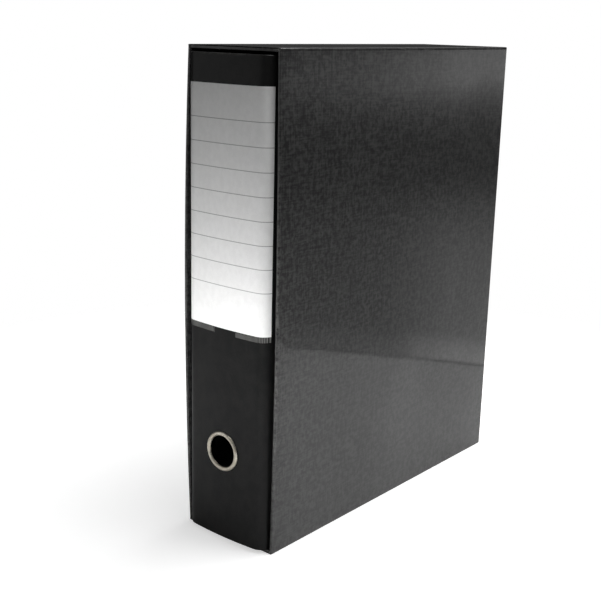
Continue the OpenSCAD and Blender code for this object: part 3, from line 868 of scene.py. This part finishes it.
def rivets():
    """Four domed rivets through the rear cover and the base plate."""
    low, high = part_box("mechanism_rivets")
    plate_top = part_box("mechanism_base")[0].x + STEEL_T
    outer, inner = 4.5 * MM, 3.8 * MM
    shank = 1.95 * MM
    head = 0.8 * MM
    outline = [(0, 0), (outer * 0.55, 0.08 * MM), (outer * 0.85, 0.3 * MM), (outer, head), (shank, head)]
    reach, length = plate_top - low.x, high.x - low.x
    outline += [(shank, reach), (inner, reach), (inner * 0.85, reach + 0.45 * MM), (inner * 0.5, length),
        (0, length)]
    first = lathe("rivet_1", (low.x, low.y + outer, low.z + outer), (1, 0, 0), outline, 32)
    rise = high.z - low.z - 2 * outer
    over = high.y - low.y - 2 * outer
    rest = [copy_of(first, f"rivet_{2 + i}", move) for i, move in
        enumerate(((0, over, 0), (0, 0, rise), (0, over, rise)))]
    rivet_set = smooth(joined("mechanism_rivet_set", [first] + rest), 40)
    hang(rivet_set, "rear_cover", "nickel_steel", "mechanism_rivets")


def arch_wire():
    """One bent wire: an arch at each end, and the crank that the lever's roller pushes, between them."""
    low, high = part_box("arch_wire")
    pivot = PIVOTS["arch_hinge"]
    arch_r = 20 * MM
    leg = high.x - 0.05 * MM - WIRE_R - arch_r - pivot.x
    half = (high.z - low.z) / 2 - WIRE_R - 0.1 * MM
    crank_half = 9 * MM
    crank_arm, crank_turn = 12 * MM, math.radians(150)
    crank = Vector((crank_arm * math.sin(crank_turn), crank_arm * math.cos(crank_turn), 0))
    turn = 3 * MM
    # from the upper arch's open end to the middle of the crank
    piece = dot("arch_wire_bent", (pivot.x + leg, pivot.y + 2 * arch_r, pivot.z + half))
    swing((pivot.x + leg, pivot.y + arch_r, pivot.z + half), (0, 0, 1), -180, 32)
    pull(x=-(leg - turn))
    swing((pivot.x + turn, pivot.y, pivot.z + half - turn), (0, 1, 0), -90, 8)
    pull(z=-(half - turn - crank_half - turn * 0.6))
    for share, fall in ((0.12, 0.45), (0.76, 0.3), (0.12, 0.45)):
        pull(crank.x * share, crank.y * share, -turn * fall)
    pull(z=-(crank_half - turn * 0.6))
    add_mirrored_half(pivot.z)
    only(piece)
    bpy.ops.object.convert(target="CURVE")
    piece.data.bevel_depth = WIRE_R
    piece.data.bevel_resolution = 5
    piece.data.use_fill_caps = True
    bpy.ops.object.convert(target="MESH")
    shaped(piece)
    round_edges(piece, 0.7 * MM, 3, 70)
    return hang(smooth(piece, 50), "arches", "nickel_steel", "arch_wire")


def add_mirrored_half(middle_z):
    """Adds the path's mirrored other half, and merges the two where they meet."""
    bpy.ops.mesh.select_all(action="SELECT")
    bpy.ops.mesh.duplicate()
    bpy.ops.transform.mirror(constraint_axis=(False, False, True), center_override=(0, 0, middle_z))
    bpy.ops.mesh.select_all(action="SELECT")
    bpy.ops.mesh.remove_doubles(threshold=0.05 * MM)
    bpy.ops.object.mode_set(mode="OBJECT")


def paper_clamp():
    """The pressed bar that holds the sheets down: a flat strip with raised long edges and three holes."""
    low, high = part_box("paper_clamp_bar")
    post_hole_r, rivet_hole_r = 2.6 * MM, 2 * MM
    piece = block("clamp_bar", low, (low.x + STEEL_T, high.y, high.z))
    cut(1, [low.y + STEEL_T, high.y - STEEL_T])
    pick("FACE", lambda c, n: n.x > 0.5 and not low.y + STEEL_T < c.y < high.y - STEEL_T)
    pull(x=high.x - low.x - STEEL_T)
    pick("EDGE", lambda a, b: near(a.y, b.y) and near(a.z, b.z) and (near(a.z, low.z) or near(a.z, high.z))
        and (near(a.y, low.y) or near(a.y, high.y)))
    bpy.ops.mesh.bevel(offset=0.9 * MM, segments=4, affect="EDGES")
    shaped(piece)
    round_edges(piece, 0.25 * MM, 2)
    middle_y, middle_z = (low.y + high.y) / 2, (low.z + high.z) / 2
    reach = 6 * MM
    holes = ((-POST_PITCH / 2, post_hole_r), (0, rivet_hole_r), (POST_PITCH / 2, post_hole_r))
    for shift, radius in holes:
        start = (low.x - reach / 2, middle_y, middle_z + shift)
        carve(piece, drill("clamp_hole_cutter", start, (1, 0, 0), radius, reach, 32))
    return hang(smooth(piece, 35), "paper_clamp", "nickel_steel", "paper_clamp_bar")


def lug(name, pivot, boss_r, hole_r, z):
    """One upright lug of the base plate: straight sides up to a round head with a hole."""
    foot = 7 * MM
    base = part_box("mechanism_base")[0].x + STEEL_T * 0.5
    lean = math.radians(72)
    side = Vector((math.cos(lean), math.sin(lean), 0)) * boss_r
    bottom = z - STEEL_T / 2
    piece = dot(name, (base, pivot.y - foot, bottom))
    pull(pivot.x + side.x - base, foot - side.y, 0)
    swing((pivot.x, pivot.y, bottom), (0, 0, 1), 2 * math.degrees(lean), 20)
    pull(base - pivot.x - side.x, foot - side.y, 0)
    bpy.ops.mesh.select_all(action="SELECT")
    bpy.ops.mesh.remove_doubles(threshold=MERGE)
    bpy.ops.mesh.edge_face_add()
    pull(z=STEEL_T)
    shaped(piece)
    carve(piece, drill("lug_hole_cutter", (pivot.x, pivot.y, bottom - MM), (0, 0, 1), hole_r, 4 * MM, 32))
    return round_edges(piece, 0.15 * MM, 2, 60)


def base_plate():
    """The pressed steel base, with two lugs for the arches and two for the lever."""
    low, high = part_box("mechanism_base")
    corner_r, rim, step, sink = 6 * MM, 3 * MM, 0.8 * MM, 0.35 * MM
    piece = block("base_plate", low, (low.x + STEEL_T, high.y, high.z))
    pick("EDGE", lambda a, b: not near(a.x, b.x))
    bpy.ops.mesh.bevel(offset=corner_r, segments=8, affect="EDGES")
    pick("FACE", lambda c, n: n.x > 0.5)
    bpy.ops.mesh.inset(thickness=rim)
    bpy.ops.mesh.inset(thickness=step)
    bpy.ops.transform.translate(value=(-sink, 0, 0))
    shaped(piece)
    round_edges(piece, 0.25 * MM, 2, 60)
    arch, lever = PIVOTS["arch_hinge"], PIVOTS["lever_hinge"]
    wire_hole_r, pin_hole_r = WIRE_R + 0.05 * MM, 1.4 * MM
    arch_reach, lever_reach = 30 * MM, 12 * MM
    parts = [piece]
    for side in (-1, 1):
        parts.append(lug("arch_lug", arch, 4 * MM, wire_hole_r, arch.z + side * arch_reach))
        parts.append(lug("lever_lug", lever, 3.9 * MM, pin_hole_r, lever.z + side * lever_reach))
    return hang(smooth(joined("mechanism_plate", parts), 40), "rear_cover", "nickel_steel", "mechanism_base")


# ---------------------------------------------------------------- floor, lights and world

FLOOR_R = 0.4
FLOOR_FADE_R = FLOOR_R * 1.5
FLOOR_RIM_R = FLOOR_R * 1.6


def add_floor():
    """A plain pale floor that fades out towards its rim, into the white around it."""
    nothing_selected()
    bpy.ops.mesh.primitive_circle_add(vertices=96, radius=FLOOR_RIM_R, fill_type="NGON")
    floor = bpy.context.object
    floor.name = "floor"
    material, t, shader, place = new_material("pale_floor", Roughness=0.6, Specular_IOR_Level=0.1,
        Emission_Color=(1, 1, 1, 1))
    t.feed(shader, "Base Color", t.blend(t.noise(place, 3.0), (0.88, 0.88, 0.88, 1), (0.9, 0.9, 0.9, 1)))
    distance = t.node("VectorMath", {0: place}, operation="LENGTH").outputs["Value"]
    t.feed(shader, "Alpha", t.spread(distance, FLOOR_FADE_R, FLOOR_R, 0.0, 1.0))
    lift = t.math("MULTIPLY", t.node("LightPath").outputs["Is Camera Ray"], 0.55)
    t.feed(shader, "Emission Strength", lift)
    floor.data.materials.append(material)


def far_side_tone(start, across):
    """The card's glow: a wavy dark line and a bright ridge at its edge, then dim, then bright far away."""
    material = bpy.data.materials.new("far_side_tone")
    material.use_nodes = True
    t = Tree(material.node_tree)
    material.node_tree.nodes.clear()
    place = t.node("TexCoord").outputs["Object"]
    axes = t.axes(place)
    away = t.node("VectorMath", {0: place}, operation="LENGTH").outputs["Value"]
    level = t.node("VectorMath", {0: place, 1: across}, operation="DOT_PRODUCT").outputs["Value"]
    beyond = t.math("SUBTRACT", level, start.dot(across))
    wavy = t.math("MULTIPLY_ADD", t.noise(place, 14.0), 0.05, beyond)
    ridge = t.math("MULTIPLY", t.spread(wavy, 0.03, 0.045), t.spread(wavy, 0.16, 0.045, 0.0, 0.6))
    dim = t.math("ADD", t.spread(away, 2.1, 0.7, 0.0, 0.55), ridge)
    near_glow = t.math("MULTIPLY", dim, t.spread(wavy, 0.02, 0.045, 0.0, 1.0))
    far_glow = t.spread(away, 2.4, 9.0, 0.0, 1.1)
    aside = t.spread(t.math("DIVIDE", axes["Y"], axes["X"]), 1.1, 1.8, 0.3, 1.0)
    glow = t.math("MULTIPLY", t.math("ADD", near_glow, far_glow), aside)
    light = t.node("Emission", {"Color": (1, 1, 1, 1), "Strength": glow})
    t.feed(t.node("OutputMaterial"), "Surface", light.outputs[0])
    return material


def add_far_side():
    """A card on the floor's level, beyond a slanting line, which only the slipcase's gloss shows."""
    start, end = Vector((0.62, 0.095, 0)), Vector((-0.25, 0.546, 0))
    along = (end - start).normalized()
    across = Vector((along.y, -along.x, 0))
    nothing_selected()
    bpy.ops.mesh.primitive_plane_add(size=1, location=(0, 0, MM))
    card = into_edit("far_side", (50, 50, 1))
    bpy.ops.mesh.bisect(plane_co=start, plane_no=across, clear_inner=True)
    bpy.ops.object.mode_set(mode="OBJECT")
    card.data.materials.append(far_side_tone(start, across))
    for unseen in ("visible_camera", "visible_diffuse", "visible_shadow", "visible_transmission"):
        setattr(card, unseen, False)


def add_softbox(name, place, target, size, power):
    """An area light that faces a target. The camera doesn't see it."""
    nothing_selected()
    bpy.ops.object.light_add(type="AREA", location=place)
    light = bpy.context.object
    light.name = name
    light.data.shape = "RECTANGLE"
    light.data.size, light.data.size_y = size
    light.data.energy = power
    light.visible_camera = False
    light.rotation_euler = (Vector(target) - Vector(place)).to_track_quat("-Z", "Y").to_euler()
    return light


def add_world():
    """White to the camera, a soft glow all round for the rest, and a brighter front for gloss."""
    world = bpy.data.worlds.new("studio")
    bpy.context.scene.world = world
    world.use_nodes = True
    t = Tree(world.node_tree)
    world.node_tree.nodes.clear()
    seen = t.node("Background", {"Color": (1, 1, 1, 1), "Strength": 1.0})
    way = t.axes(t.node("TexCoord").outputs["Generated"])
    round_glow = t.spread(way["Y"], -0.6, 0.7, 0.02, 0.22)
    glow = t.math("MULTIPLY", round_glow, t.spread(way["Z"], 0.08, 0.5, 0.12, 1.0))
    ray = t.node("LightPath").outputs
    front = t.math("MULTIPLY", t.spread(way["Y"], -0.2, -0.6, 0.0, 0.55), ray["Is Glossy Ray"])
    left = t.spread(way["X"], -0.1, -0.7, 0.35, 1.0)
    glow = t.math("MULTIPLY_ADD", front, left, glow)
    lit = t.node("Background", {"Color": (1, 1, 1, 1), "Strength": glow})
    mix = t.node("MixShader", {0: ray["Is Camera Ray"], 1: lit.outputs[0], 2: seen.outputs[0]})
    t.feed(t.node("OutputWorld"), "Surface", mix.outputs[0])


def add_lights():
    """A large softbox overhead, two small low lights before the spine, a front fill and the world."""
    add_softbox("overhead_softbox", (0.3, 0.3, 1.25), (0.25, 0.25, 0), (1.0, 0.9), 18)
    for name, x, power in (("low_left", -0.12, 0.095), ("low_right", 0.12, 0.12)):
        low = add_softbox(name, (x, -0.29, 0.04), (0, -0.146, 0.16), (0.1, 0.06), power)
        low.data.spread = math.radians(95)
        low.visible_glossy = False
    fill = add_softbox("front_fill", (0.1, -1.5, 0.6), (0, -0.3, 0.2), (1.0, 1.0), 1.5)
    fill.visible_glossy = False
    add_world()


# ---------------------------------------------------------------- the whole model

add_camera()
bpy.context.scene.view_settings.view_transform = "Standard"
finish_frame_nodes()
side_paper()
end_paper("slipcase_top_paper", 1, "case_top_sheet")
end_paper("slipcase_bottom_paper", -1, "case_bottom_sheet")
spine_paper()
cover_papers()
crease_strips()
spine_label()
tear_strip()
finger_ring()
ring_washer()
posts()
rivets()
arch_wire()
paper_clamp()
base_plate()
add_floor()
add_far_side()
add_lights()
